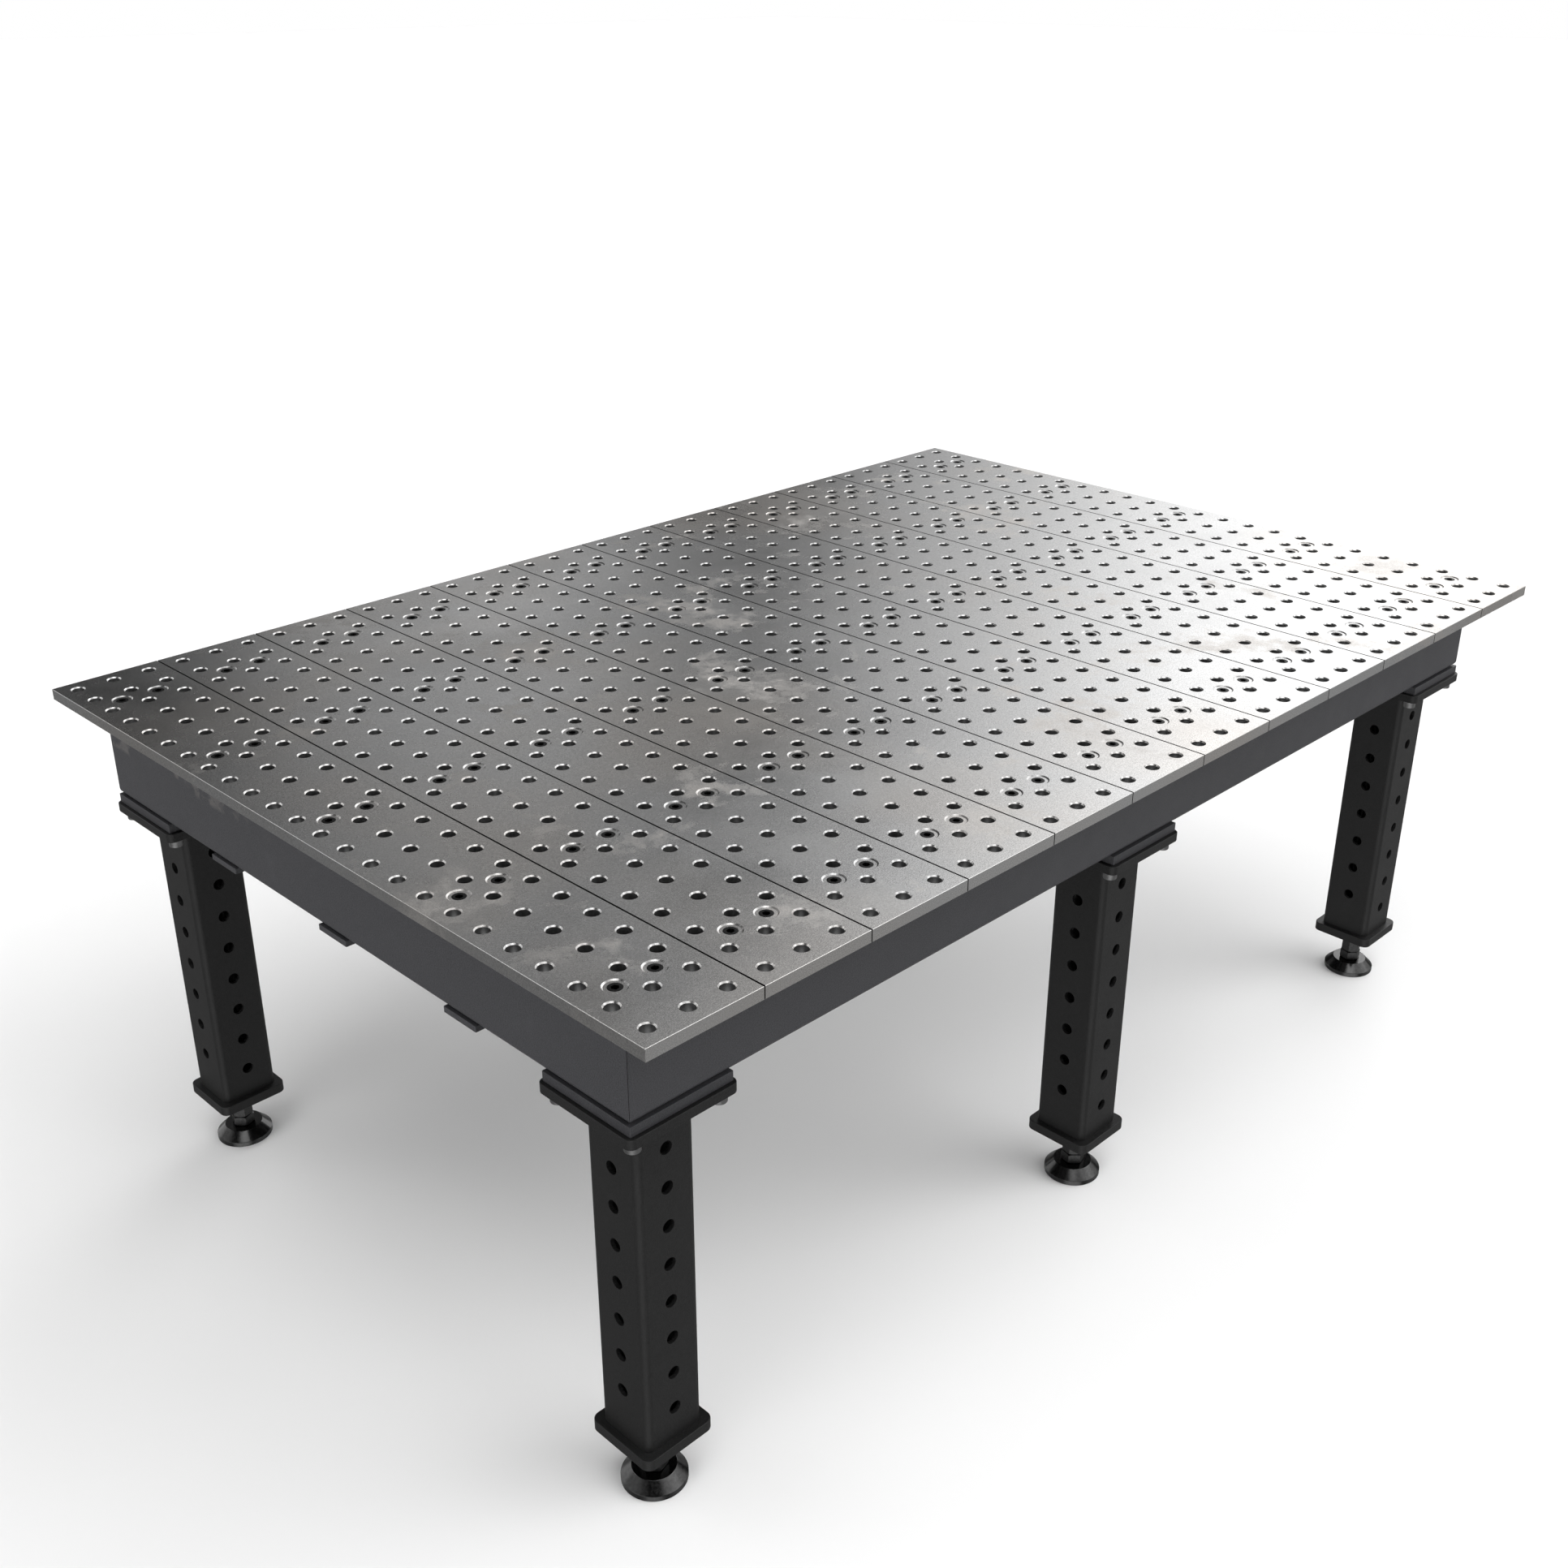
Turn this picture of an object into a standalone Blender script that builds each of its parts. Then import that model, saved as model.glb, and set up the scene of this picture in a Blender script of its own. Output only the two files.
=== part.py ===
"""Welding table: a planked steel top on a welded tube frame with six screw-levelled legs.

Units are metres and +Z is up. The origin is on the floor under the middle of the table.
+X runs along the long side and -Y faces the front.
"""
import math

import bmesh
import bpy
from mathutils import Matrix, Vector

TABLE_LENGTH = 1.800
TABLE_WIDTH = 1.200
TABLE_HEIGHT = 0.698
FIT_GAP = 0.0003                # air left between two pieces that rest on each other

PLANK_COUNT = 12
PLANK_THICKNESS = 0.015
PLANK_SEAM = 0.0015             # open joint between two planks
PLANK_CHAMFER = 0.001

FRAME_LENGTH = 1.725
FRAME_WIDTH = 1.056
FRAME_TUBE_HEIGHT = 0.126
FRAME_TUBE_WIDTH = 0.056
FRAME_TUBE_WALL = 0.005
FRAME_TUBE_RADIUS = 0.008
RAIL_SPACING = 0.250            # between the rails that the planks are screwed to
INNER_RAIL_COUNT = 3

RAIL_PAD_LENGTH = 0.110
RAIL_PAD_WIDTH = 0.058
RAIL_PAD_THICKNESS = 0.008
PAD_OVERHANG = 0.001            # how far a pad stands out past the frame's face

LEG_OFFSET_X = 0.7948
LEG_OFFSET_Y = 0.4606
LEG_TUBE_WIDTH = 0.080
LEG_TUBE_WALL = 0.005
LEG_TUBE_RADIUS = 0.009
LEG_TOP_PLATE_WIDTH = 0.147
LEG_TOP_PLATE_THICKNESS = 0.0125
LEG_TOP_PLATE_RADIUS = 0.009
LEG_FOOT_PLATE_WIDTH = 0.099
LEG_FOOT_PLATE_THICKNESS = 0.0145
LEG_FOOT_PLATE_RADIUS = 0.011
LEG_PAD_WIDTH = 0.1375
LEG_PAD_THICKNESS = 0.0125

LEG_HOLE_DIAMETER = 0.016
LEG_HOLE_PITCH = 0.050
LEG_HOLE_MID_HEIGHT = 0.307
LEG_HOLES_FRONT = 8             # through the front and back walls
LEG_HOLES_SIDE = 7              # through the side walls, half a pitch lower
LEG_HOLE_SIDES = 6

BOLT_OFFSET = 0.058             # from the leg's axis, along X and along Y
BOLT_SHANK_RADIUS = 0.006
BOLT_HEAD_RADIUS = 0.009
BOLT_HEAD_HEIGHT = 0.012
BOLT_HOLE_RADIUS = 0.0068
BOLT_SHANK_SIDES = 8
BOLT_HEAD_SIDES = 12

FOOT_HEIGHT = 0.0745            # floor to the underside of the leg
FOOT_BASE_RADIUS = 0.039
FOOT_BASE_HEIGHT = 0.0198
FOOT_RIM_HEIGHT = 0.0075
FOOT_RING_RADIUS = 0.027
FOOT_BALL_CENTRE = 0.0118
FOOT_BALL_RADIUS = 0.0075
FOOT_SOCKET_RADIUS = 0.0080
FOOT_NECK_RADIUS = 0.0050
FOOT_NECK_HOLE_RADIUS = 0.0056
FOOT_HEX_BOTTOM = 0.0206
FOOT_HEX_HEIGHT = 0.0144
FOOT_HEX_FLATS = 0.029
FOOT_ROD_RADIUS = 0.009
FOOT_ROD_TOP = 0.105
FOOT_ROD_CHAMFER = 0.0015
FOOT_NUT_FLATS = 0.027
FOOT_BORE_RADIUS = 0.0097
BASE_STEPS = 24
STUD_STEPS = 16
HEX_CORNER_ANGLE = math.radians(15)

PLANK_BOTTOM = TABLE_HEIGHT - PLANK_THICKNESS
FRAME_BOTTOM = PLANK_BOTTOM - FRAME_TUBE_HEIGHT
LEG_PAD_BOTTOM = FRAME_BOTTOM - LEG_PAD_THICKNESS
LEG_TOP = LEG_PAD_BOTTOM - FIT_GAP
LEG_PLACES = {
    "front_left": (-LEG_OFFSET_X, -LEG_OFFSET_Y),
    "front_middle": (0.0, -LEG_OFFSET_Y),
    "front_right": (LEG_OFFSET_X, -LEG_OFFSET_Y),
    "back_left": (-LEG_OFFSET_X, LEG_OFFSET_Y),
    "back_middle": (0.0, LEG_OFFSET_Y),
    "back_right": (LEG_OFFSET_X, LEG_OFFSET_Y),
}


def clear_scene():
    for old in list(bpy.data.objects):
        bpy.data.objects.remove(old, do_unlink=True)


def new_collection(name):
    collection = bpy.data.collections.new(name)
    bpy.context.scene.collection.children.link(collection)
    return collection


def new_material(name, color, metallic, roughness):
    material = bpy.data.materials.new(name)
    material.use_nodes = True
    shader = material.node_tree.nodes["Principled BSDF"]
    shader.inputs["Base Color"].default_value = (*color, 1.0)
    shader.inputs["Metallic"].default_value = metallic
    shader.inputs["Roughness"].default_value = roughness
    return material


# Shapes

def rounded_rectangle(width, height, radius, steps):
    """Corner points of a rectangle whose corners are arcs, counter-clockwise."""
    points = []
    for quarter, (side_x, side_y) in enumerate(((1, 1), (-1, 1), (-1, -1), (1, -1))):
        centre = Vector((side_x * (width / 2 - radius), side_y * (height / 2 - radius)))
        for step in range(steps + 1):
            angle = math.radians(90) * (quarter + step / steps)
            points.append(centre + radius * Vector((math.cos(angle), math.sin(angle))))
    return points


def regular_polygon(sides, radius, first_angle=0.0):
    angles = [first_angle + math.tau * side / sides for side in range(sides)]
    return [Vector((radius * math.cos(angle), radius * math.sin(angle))) for angle in angles]


def hexagon(across_flats):
    return regular_polygon(6, across_flats / math.sqrt(3), HEX_CORNER_ANGLE)


def evaluated_mesh(source):
    """The mesh of an object after its modifiers, with loose caps welded."""
    graph = bpy.context.evaluated_depsgraph_get()
    mesh = bpy.data.meshes.new_from_object(source.evaluated_get(graph))
    shape = bmesh.new()
    shape.from_mesh(mesh)
    bmesh.ops.remove_doubles(shape, verts=shape.verts, dist=0.00001)
    shape.to_mesh(mesh)
    shape.free()
    return mesh


def extruded(loops, bottom, top):
    """A prism along Z between two heights; a second loop is a hole through it."""
    curve = bpy.data.curves.new("outline", "CURVE")
    curve.dimensions = "2D"
    curve.fill_mode = "BOTH"
    curve.extrude = (top - bottom) / 2
    for loop in loops:
        spline = curve.splines.new("POLY")
        spline.points.add(len(loop) - 1)
        for point, place in zip(spline.points, loop):
            point.co = (place.x, place.y, 0.0, 1.0)
        spline.use_cyclic_u = True
    outline = bpy.data.objects.new("outline", curve)
    bpy.context.scene.collection.objects.link(outline)
    mesh = evaluated_mesh(outline)
    bpy.data.objects.remove(outline, do_unlink=True)
    mesh.transform(Matrix.Translation((0.0, 0.0, (top + bottom) / 2)))
    return mesh


def turned(profile, steps):
    """A solid of revolution about Z from (radius, height) points, outer side downwards."""
    mesh = bpy.data.meshes.new("profile")
    edges = [(index, index + 1) for index in range(len(profile) - 1)]
    mesh.from_pydata([(radius, 0.0, height) for radius, height in profile], edges, [])
    source = bpy.data.objects.new("profile", mesh)
    bpy.context.scene.collection.objects.link(source)
    screw = source.modifiers.new("turn", "SCREW")
    screw.axis = "Z"
    screw.steps = steps
    screw.render_steps = steps
    screw.use_merge_vertices = True
    screw.merge_threshold = 0.00001
    result = evaluated_mesh(source)
    bpy.data.objects.remove(source, do_unlink=True)
    return result


def arc(centre_height, radius, first_degrees, last_degrees, steps):
    """(radius, height) points on a circle round the turning axis."""
    points = []
    for step in range(steps + 1):
        angle = math.radians(first_degrees + (last_degrees - first_degrees) * step / steps)
        points.append((radius * math.cos(angle), centre_height + radius * math.sin(angle)))
    return points


def combined(body, tools):
    """The body's mesh after each (operation, tool mesh) has been joined to or cut from it."""
    target = bpy.data.objects.new("body", body)
    bpy.context.scene.collection.objects.link(target)
    for operation, tool_mesh in tools:
        tool = bpy.data.objects.new("tool", tool_mesh)
        tool.display_type = "WIRE"
        tool.hide_render = True
        cutters.objects.link(tool)
        step = target.modifiers.new(operation.lower(), "BOOLEAN")
        step.operation = operation
        step.solver = "EXACT"
        step.object = tool
    bpy.context.view_layer.update()
    result = evaluated_mesh(target)
    bpy.data.objects.remove(target, do_unlink=True)
    return result


def add_part(name, mesh, material, location=(0.0, 0.0, 0.0), turn=0.0, parent=None):
    part = bpy.data.objects.new(name, mesh)
    parts.objects.link(part)
    if not mesh.materials:
        mesh.materials.append(material)
    mesh.shade_smooth()
    mesh.set_sharp_from_angle(angle=math.radians(35))
    part.location = location
    part.rotation_euler.z = turn
    part.parent = parent
    return part


# Top

def plank_mesh():
    width = TABLE_LENGTH / PLANK_COUNT - PLANK_SEAM
    bpy.ops.mesh.primitive_cube_add(size=1.0)
    block = bpy.context.object
    block.data.transform(Matrix.Diagonal((width, TABLE_WIDTH, PLANK_THICKNESS, 1.0)))
    bevel = block.modifiers.new("edges", "BEVEL")
    bevel.width = PLANK_CHAMFER
    bevel.segments = 1
    mesh = evaluated_mesh(block)
    bpy.data.objects.remove(block, do_unlink=True)
    return mesh


def build_top():
    mesh = plank_mesh()
    pitch = TABLE_LENGTH / PLANK_COUNT
    for index in range(PLANK_COUNT):
        x = (index + 0.5) * pitch - TABLE_LENGTH / 2
        place = (x, 0.0, TABLE_HEIGHT - PLANK_THICKNESS / 2)
        add_part(f"top_plank_{index + 1:02d}", mesh, plank_steel, place)


# Frame

def rail_mesh(length, mitred):
    """A tube along X whose outer face looks to -Y, with plain or 45 degree ends."""
    outer = rounded_rectangle(FRAME_TUBE_WIDTH, FRAME_TUBE_HEIGHT - FIT_GAP, FRAME_TUBE_RADIUS, 3)
    inner = rounded_rectangle(
        FRAME_TUBE_WIDTH - 2 * FRAME_TUBE_WALL,
        FRAME_TUBE_HEIGHT - FIT_GAP - 2 * FRAME_TUBE_WALL,
        FRAME_TUBE_RADIUS - FRAME_TUBE_WALL, 1)
    mesh = extruded([outer, inner], -length / 2, length / 2)
    width_to_y_height_to_z = Matrix(((0, 0, 1, 0), (1, 0, 0, 0), (0, 1, 0, 0), (0, 0, 0, 1)))
    mesh.transform(width_to_y_height_to_z)
    for vertex in mesh.vertices:
        cut_back = vertex.co.y + FRAME_TUBE_WIDTH / 2 if mitred else 0.0
        vertex.co.x = math.copysign(length / 2 - FIT_GAP - cut_back, vertex.co.x)
    return mesh


def build_frame():
    height = FRAME_BOTTOM + (FRAME_TUBE_HEIGHT - FIT_GAP) / 2
    side_y = (FRAME_WIDTH - FRAME_TUBE_WIDTH) / 2
    end_x = (FRAME_LENGTH - FRAME_TUBE_WIDTH) / 2
    side_rail = rail_mesh(FRAME_LENGTH, mitred=True)
    end_rail = rail_mesh(FRAME_WIDTH, mitred=True)
    inner_rail = rail_mesh(FRAME_LENGTH - 2 * FRAME_TUBE_WIDTH, mitred=False)
    quarter_turn = math.radians(90)
    add_part("frame_rail_front", side_rail, frame_paint, (0.0, -side_y, height))
    add_part("frame_rail_back", side_rail, frame_paint, (0.0, side_y, height), 2 * quarter_turn)
    add_part("frame_rail_left", end_rail, frame_paint, (-end_x, 0.0, height), -quarter_turn)
    add_part("frame_rail_right", end_rail, frame_paint, (end_x, 0.0, height), quarter_turn)
    for index in range(INNER_RAIL_COUNT):
        y = inner_rail_y(index)
        add_part(f"frame_inner_rail_{index + 1}", inner_rail, frame_paint, (0.0, y, height))


def inner_rail_y(index):
    return (index - (INNER_RAIL_COUNT - 1) / 2) * RAIL_SPACING


def build_rail_pads():
    """Flat plates welded under the joints of the inner rails and the end rails."""
    outline = rounded_rectangle(RAIL_PAD_LENGTH, RAIL_PAD_WIDTH, 0.0005, 1)
    mesh = extruded([outline], FRAME_BOTTOM - RAIL_PAD_THICKNESS, FRAME_BOTTOM - FIT_GAP)
    pad_x = FRAME_LENGTH / 2 + PAD_OVERHANG - RAIL_PAD_LENGTH / 2
    for side, x in (("left", -pad_x), ("right", pad_x)):
        for index in range(INNER_RAIL_COUNT):
            name = f"rail_pad_{side}_{index + 1}"
            add_part(name, mesh, frame_paint, (x, inner_rail_y(index), 0.0))


# Legs

def bolt_places():
    return [(x, y) for x in (-BOLT_OFFSET, BOLT_OFFSET) for y in (-BOLT_OFFSET, BOLT_OFFSET)]


def moved(mesh, x, y):
    copy = mesh.copy()
    copy.transform(Matrix.Translation((x, y, 0.0)))
    return copy


def joined(meshes):
    """One mesh that holds several separate solids, for use as a single cutting tool."""
    shape = bmesh.new()
    for mesh in meshes:
        shape.from_mesh(mesh)
    result = bpy.data.meshes.new("tools")
    shape.to_mesh(result)
    shape.free()
    return result


def leg_pad_mesh():
    """The pad under the frame, with the four cap screws that hold the leg to it."""
    plate = extruded([rounded_rectangle(LEG_PAD_WIDTH, LEG_PAD_WIDTH, 0.0005, 1)],
                     LEG_PAD_BOTTOM, FRAME_BOTTOM - FIT_GAP)
    head_top = LEG_TOP - LEG_TOP_PLATE_THICKNESS - FIT_GAP
    head_middle = head_top - BOLT_HEAD_HEIGHT / 2
    pad_middle = LEG_PAD_BOTTOM + LEG_PAD_THICKNESS / 2
    shank = extruded([regular_polygon(BOLT_SHANK_SIDES, BOLT_SHANK_RADIUS)],
                     head_middle, pad_middle)
    head = extruded([regular_polygon(BOLT_HEAD_SIDES, BOLT_HEAD_RADIUS)],
                    head_top - BOLT_HEAD_HEIGHT, head_top)
    shanks = joined([moved(shank, x, y) for x, y in bolt_places()])
    heads = joined([moved(head, x, y) for x, y in bolt_places()])
    return combined(plate, [("UNION", shanks), ("UNION", heads)])


def leg_hole_tools():
    """Long drills through both walls, staggered by half a pitch between the two directions."""
    reach = LEG_TUBE_WIDTH
    outline = regular_polygon(LEG_HOLE_SIDES, LEG_HOLE_DIAMETER / 2, math.radians(30))
    drill = extruded([outline], -reach, reach)
    along_y = Matrix.Rotation(math.radians(90), 4, "X")
    along_x = Matrix.Rotation(math.radians(90), 4, "Z") @ along_y
    drills = []
    for count, direction in ((LEG_HOLES_FRONT, along_y), (LEG_HOLES_SIDE, along_x)):
        for index in range(count):
            height = LEG_HOLE_MID_HEIGHT + (index - (count - 1) / 2) * LEG_HOLE_PITCH
            copy = drill.copy()
            copy.transform(Matrix.Translation((0.0, 0.0, height)) @ direction)
            drills.append(copy)
    return joined(drills)


def leg_mesh():
    top_plate_bottom = LEG_TOP - LEG_TOP_PLATE_THICKNESS
    foot_plate_top = FOOT_HEIGHT + LEG_FOOT_PLATE_THICKNESS
    tube = extruded([rounded_rectangle(LEG_TUBE_WIDTH, LEG_TUBE_WIDTH, LEG_TUBE_RADIUS, 3)],
                    FOOT_HEIGHT + LEG_FOOT_PLATE_THICKNESS / 2,
                    LEG_TOP - LEG_TOP_PLATE_THICKNESS / 2)
    top_plate = extruded([rounded_rectangle(LEG_TOP_PLATE_WIDTH, LEG_TOP_PLATE_WIDTH,
                                            LEG_TOP_PLATE_RADIUS, 2)],
                         top_plate_bottom, LEG_TOP)
    foot_plate = extruded([rounded_rectangle(LEG_FOOT_PLATE_WIDTH, LEG_FOOT_PLATE_WIDTH,
                                             LEG_FOOT_PLATE_RADIUS, 2)],
                          FOOT_HEIGHT, foot_plate_top)
    inside = LEG_TUBE_WIDTH - 2 * LEG_TUBE_WALL
    hollow = extruded([rounded_rectangle(inside, inside, LEG_TUBE_RADIUS - LEG_TUBE_WALL, 1)],
                      foot_plate_top, top_plate_bottom)
    bolt_hole = extruded([regular_polygon(BOLT_SHANK_SIDES, BOLT_HOLE_RADIUS)],
                         top_plate_bottom - FIT_GAP, LEG_TOP + FIT_GAP)
    bolt_holes = joined([moved(bolt_hole, x, y) for x, y in bolt_places()])
    stud_bore = extruded([regular_polygon(STUD_STEPS, FOOT_BORE_RADIUS)],
                         FOOT_HEIGHT - FIT_GAP, foot_plate_top + FIT_GAP)
    return combined(tube, [
        ("UNION", top_plate),
        ("UNION", foot_plate),
        ("DIFFERENCE", hollow),
        ("DIFFERENCE", leg_hole_tools()),
        ("DIFFERENCE", bolt_holes),
        ("DIFFERENCE", stud_bore),
    ])


# Levelling feet

def foot_base_mesh():
    """A coned disc with a ball socket that keeps the stud's end."""
    neck_degrees = math.degrees(math.acos(FOOT_NECK_HOLE_RADIUS / FOOT_SOCKET_RADIUS))
    socket = arc(FOOT_BALL_CENTRE, FOOT_SOCKET_RADIUS, -90, neck_degrees, 5)
    socket[0] = (0.0, FOOT_BALL_CENTRE - FOOT_SOCKET_RADIUS)
    outside = [
        (FOOT_NECK_HOLE_RADIUS, FOOT_BASE_HEIGHT),
        (FOOT_RING_RADIUS, FOOT_BASE_HEIGHT),
        (FOOT_BASE_RADIUS, FOOT_RIM_HEIGHT),
        (FOOT_BASE_RADIUS, 0.0),
        (0.0, 0.0),
    ]
    return turned(socket + outside, BASE_STEPS)


def foot_stud_mesh():
    """A threaded rod above a spanner hexagon, with a neck and a ball below it."""
    hex_middle = FOOT_HEX_BOTTOM + FOOT_HEX_HEIGHT / 2
    neck_degrees = math.degrees(math.acos(FOOT_NECK_RADIUS / FOOT_BALL_RADIUS))
    ball = arc(FOOT_BALL_CENTRE, FOOT_BALL_RADIUS, neck_degrees, -90, 4)
    ball[-1] = (0.0, FOOT_BALL_CENTRE - FOOT_BALL_RADIUS)
    profile = [
        (0.0, FOOT_ROD_TOP),
        (FOOT_ROD_RADIUS - FOOT_ROD_CHAMFER, FOOT_ROD_TOP),
        (FOOT_ROD_RADIUS, FOOT_ROD_TOP - FOOT_ROD_CHAMFER),
        (FOOT_ROD_RADIUS, hex_middle),
        (FOOT_NECK_RADIUS, hex_middle),
    ]
    shaft = turned(profile + ball, STUD_STEPS)
    hex_prism = extruded([hexagon(FOOT_HEX_FLATS)],
                         FOOT_HEX_BOTTOM, FOOT_HEX_BOTTOM + FOOT_HEX_HEIGHT)
    return combined(shaft, [("UNION", hex_prism)])


def foot_nut_mesh():
    """A long hexagon nut that the stud screws into, fixed under the leg."""
    outer = hexagon(FOOT_NUT_FLATS)
    bore = regular_polygon(STUD_STEPS, FOOT_BORE_RADIUS)
    bottom = FOOT_HEX_BOTTOM + FOOT_HEX_HEIGHT + FIT_GAP
    return extruded([outer, bore], bottom, FOOT_HEIGHT - FIT_GAP)


def build_legs_and_feet():
    pad = leg_pad_mesh()
    leg = leg_mesh()
    nut = foot_nut_mesh()
    stud = foot_stud_mesh()
    base = foot_base_mesh()
    for place, (x, y) in LEG_PLACES.items():
        add_part(f"leg_pad_{place}", pad, frame_paint, (x, y, 0.0))
        add_part(f"leg_{place}", leg, leg_coating, (x, y, 0.0))
        add_part(f"foot_nut_{place}", nut, dark_steel, (x, y, 0.0))
        axis = bpy.data.objects.new(f"foot_axis_{place}", None)
        axis.location = (x, y, 0.0)
        parts.objects.link(axis)
        add_part(f"foot_stud_{place}", stud, stud_steel, parent=axis)
        add_part(f"foot_base_{place}", base, base_steel, parent=axis)


clear_scene()
parts = new_collection("welding_table")
cutters = new_collection("cutters")
plank_steel = new_material("plank_steel", (0.30, 0.29, 0.28), 0.9, 0.42)
frame_paint = new_material("frame_paint", (0.055, 0.055, 0.058), 0.1, 0.55)
leg_coating = new_material("leg_coating", (0.022, 0.022, 0.023), 0.1, 0.60)
dark_steel = new_material("dark_steel", (0.16, 0.16, 0.16), 0.9, 0.38)
stud_steel = new_material("stud_steel", (0.15, 0.15, 0.15), 0.9, 0.35)
base_steel = new_material("base_steel", (0.18, 0.18, 0.18), 0.9, 0.30)
build_top()
build_frame()
build_rail_pads()
build_legs_and_feet()
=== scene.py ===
"""Looks of the welding table: fine meshes, finishes, floor, light and camera.

Units are metres and +Z is up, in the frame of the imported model. Every mesh is made in
place, so each piece's object sits at the origin.
"""
from collections import namedtuple
import math

import bmesh
import bpy
from mathutils import Matrix, Vector


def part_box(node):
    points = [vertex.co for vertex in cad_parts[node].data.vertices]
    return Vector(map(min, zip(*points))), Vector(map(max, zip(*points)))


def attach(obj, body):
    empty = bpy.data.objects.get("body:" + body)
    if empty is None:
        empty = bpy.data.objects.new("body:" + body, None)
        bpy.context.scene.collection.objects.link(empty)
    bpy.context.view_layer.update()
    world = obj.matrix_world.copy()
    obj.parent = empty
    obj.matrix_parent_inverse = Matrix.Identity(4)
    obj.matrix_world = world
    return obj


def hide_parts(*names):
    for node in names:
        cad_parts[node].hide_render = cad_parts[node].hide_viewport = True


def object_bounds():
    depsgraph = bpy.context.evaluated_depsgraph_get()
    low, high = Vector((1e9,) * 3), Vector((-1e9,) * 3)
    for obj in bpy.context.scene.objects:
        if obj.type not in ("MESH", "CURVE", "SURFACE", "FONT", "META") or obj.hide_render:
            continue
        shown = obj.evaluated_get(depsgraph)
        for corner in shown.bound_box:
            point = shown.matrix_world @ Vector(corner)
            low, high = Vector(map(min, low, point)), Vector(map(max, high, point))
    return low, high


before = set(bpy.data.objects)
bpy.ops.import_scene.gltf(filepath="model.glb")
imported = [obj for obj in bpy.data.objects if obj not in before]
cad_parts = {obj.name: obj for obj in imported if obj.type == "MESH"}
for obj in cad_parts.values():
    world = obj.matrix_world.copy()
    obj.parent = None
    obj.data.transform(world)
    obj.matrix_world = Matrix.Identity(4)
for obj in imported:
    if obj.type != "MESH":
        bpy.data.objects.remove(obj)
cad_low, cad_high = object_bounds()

LEG_PLACES = ("front_left", "front_middle", "front_right", "back_left", "back_middle", "back_right")
SHARP_ANGLE = math.radians(28)  # faces that meet at more than this keep a sharp corner

# Cap screws
CapScrew = namedtuple("CapScrew", "radius edge socket_flats socket_depth")
PLANK_SCREW = CapScrew(radius=0.00785, edge=0.0006, socket_flats=0.0080, socket_depth=0.0050)
LEG_SCREW = CapScrew(radius=0.009, edge=0.0010, socket_flats=0.010, socket_depth=0.006)
SCREW_STEPS = 48
EDGE_MIDDLE = 0.3               # inset of the middle of a head's rounded edge, as a share of it
SOCKET_TIP_DEPTH = 0.15         # depth of the cone in a socket's floor, as a share of its flats

# Top
HOLE_PITCH = 0.050
HOLE_RADIUS = 0.008
HOLE_CHAMFER = 0.0015
HOLE_LOWER_CHAMFER = 0.0005
HOLE_STEPS = 32
PLANK_CHAMFER = 0.0004
EDGE_STEP = 0.025               # spacing of the vertices along a plank's edges
SCREW_ROWS = (-0.50, -0.25, 0.0, 0.25, 0.50)
SCREW_OFFSET_X = 0.025          # each side of a plank's middle
RECESS_RIM_RADIUS = 0.0136
RECESS_RING_RADIUS = 0.0118
RECESS_DEPTH = 0.0012
RECESS_BORE_RADIUS = 0.0081
RECESS_BORE_DEPTH = 0.0110
SCREW_HEAD_TOP = 0.0011         # below the top's surface
SCREW_HEAD_GAP = 0.0001         # between the head and the bottom of its recess
# walls of holes and recesses: rough cut finish, darkened partly as painted shade
CUT_STEEL_AND_SHADE = 1                  # places in a plank's row of materials
# faces along the seams between planks: near-black painted shade
SEAM_SHADE = 2

# Frame
TUBE_WALL = 0.005
TUBE_RADIUS = 0.008
TUBE_CORNER_STEPS = 8

# Legs
LEG_TUBE_WIDTH = 0.080
LEG_TUBE_RADIUS = 0.009
LEG_HOLE_PITCH = 0.050
LEG_HOLE_MID_HEIGHT = 0.307
LEG_HOLES_FRONT = 8
LEG_HOLES_SIDE = 7
LEG_HOLE_STEPS = 40
DRILL_LENGTH = 1.5 * LEG_TUBE_WIDTH
LEG_TOP_PLATE_THICKNESS = 0.0125
LEG_TOP_PLATE_RADIUS = 0.009
LEG_FOOT_PLATE_WIDTH = 0.099
LEG_FOOT_PLATE_THICKNESS = 0.0145
LEG_FOOT_PLATE_RADIUS = 0.011
PLATE_EDGE = 0.0010
PLATE_EDGE_STEPS = 3
LEG_PAD_THICKNESS = 0.0122
PAD_EDGE = 0.0005
PAD_CORNER_RADIUS = 0.0010
PAD_CORNER_STEPS = 3
LEG_SCREW_OFFSET = 0.058
LEG_SCREW_HOLE_RADIUS = 0.0068
LEG_SCREW_HEAD_HEIGHT = 0.012

# Feet; heights are above the floor
FOOT_STEPS = 96                 # vertices round a base, stud or nut
BASE_CHAMFER = 0.0008
BASE_RIM_HEIGHT = 0.0075
BASE_RIM_EDGE = 0.0003
BASE_RIM_DROP = 0.0002          # of the rim's side below the rim height
BASE_RING_RADIUS = 0.027
BASE_RING_EDGE = 0.0006
BASE_TOP_DROP = 0.0004          # of the sides below the flat top
BASE_NECK_HOLE_RADIUS = 0.0058
SOCKET_RADIUS = 0.0080
BALL_CENTRE = 0.0118
BALL_RADIUS = 0.0075
BALL_STEPS = 12
NECK_RADIUS = 0.0050
HEX_BOTTOM = 0.0206
HEX_TOP = 0.0350
HEX_FLATS = 0.029
HEX_CORNER_ANGLE = math.radians(15)
HEX_FACE = 0.985                # width of a hexagon's round end, as a share of its flats
HEX_CHAMFER_SLOPE = math.tan(math.radians(30))
NUT_FLATS = 0.027
NUT_BORE_RADIUS = 0.0097
ROD_RADIUS = 0.009
ROD_CHAMFER = 0.0015
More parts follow.
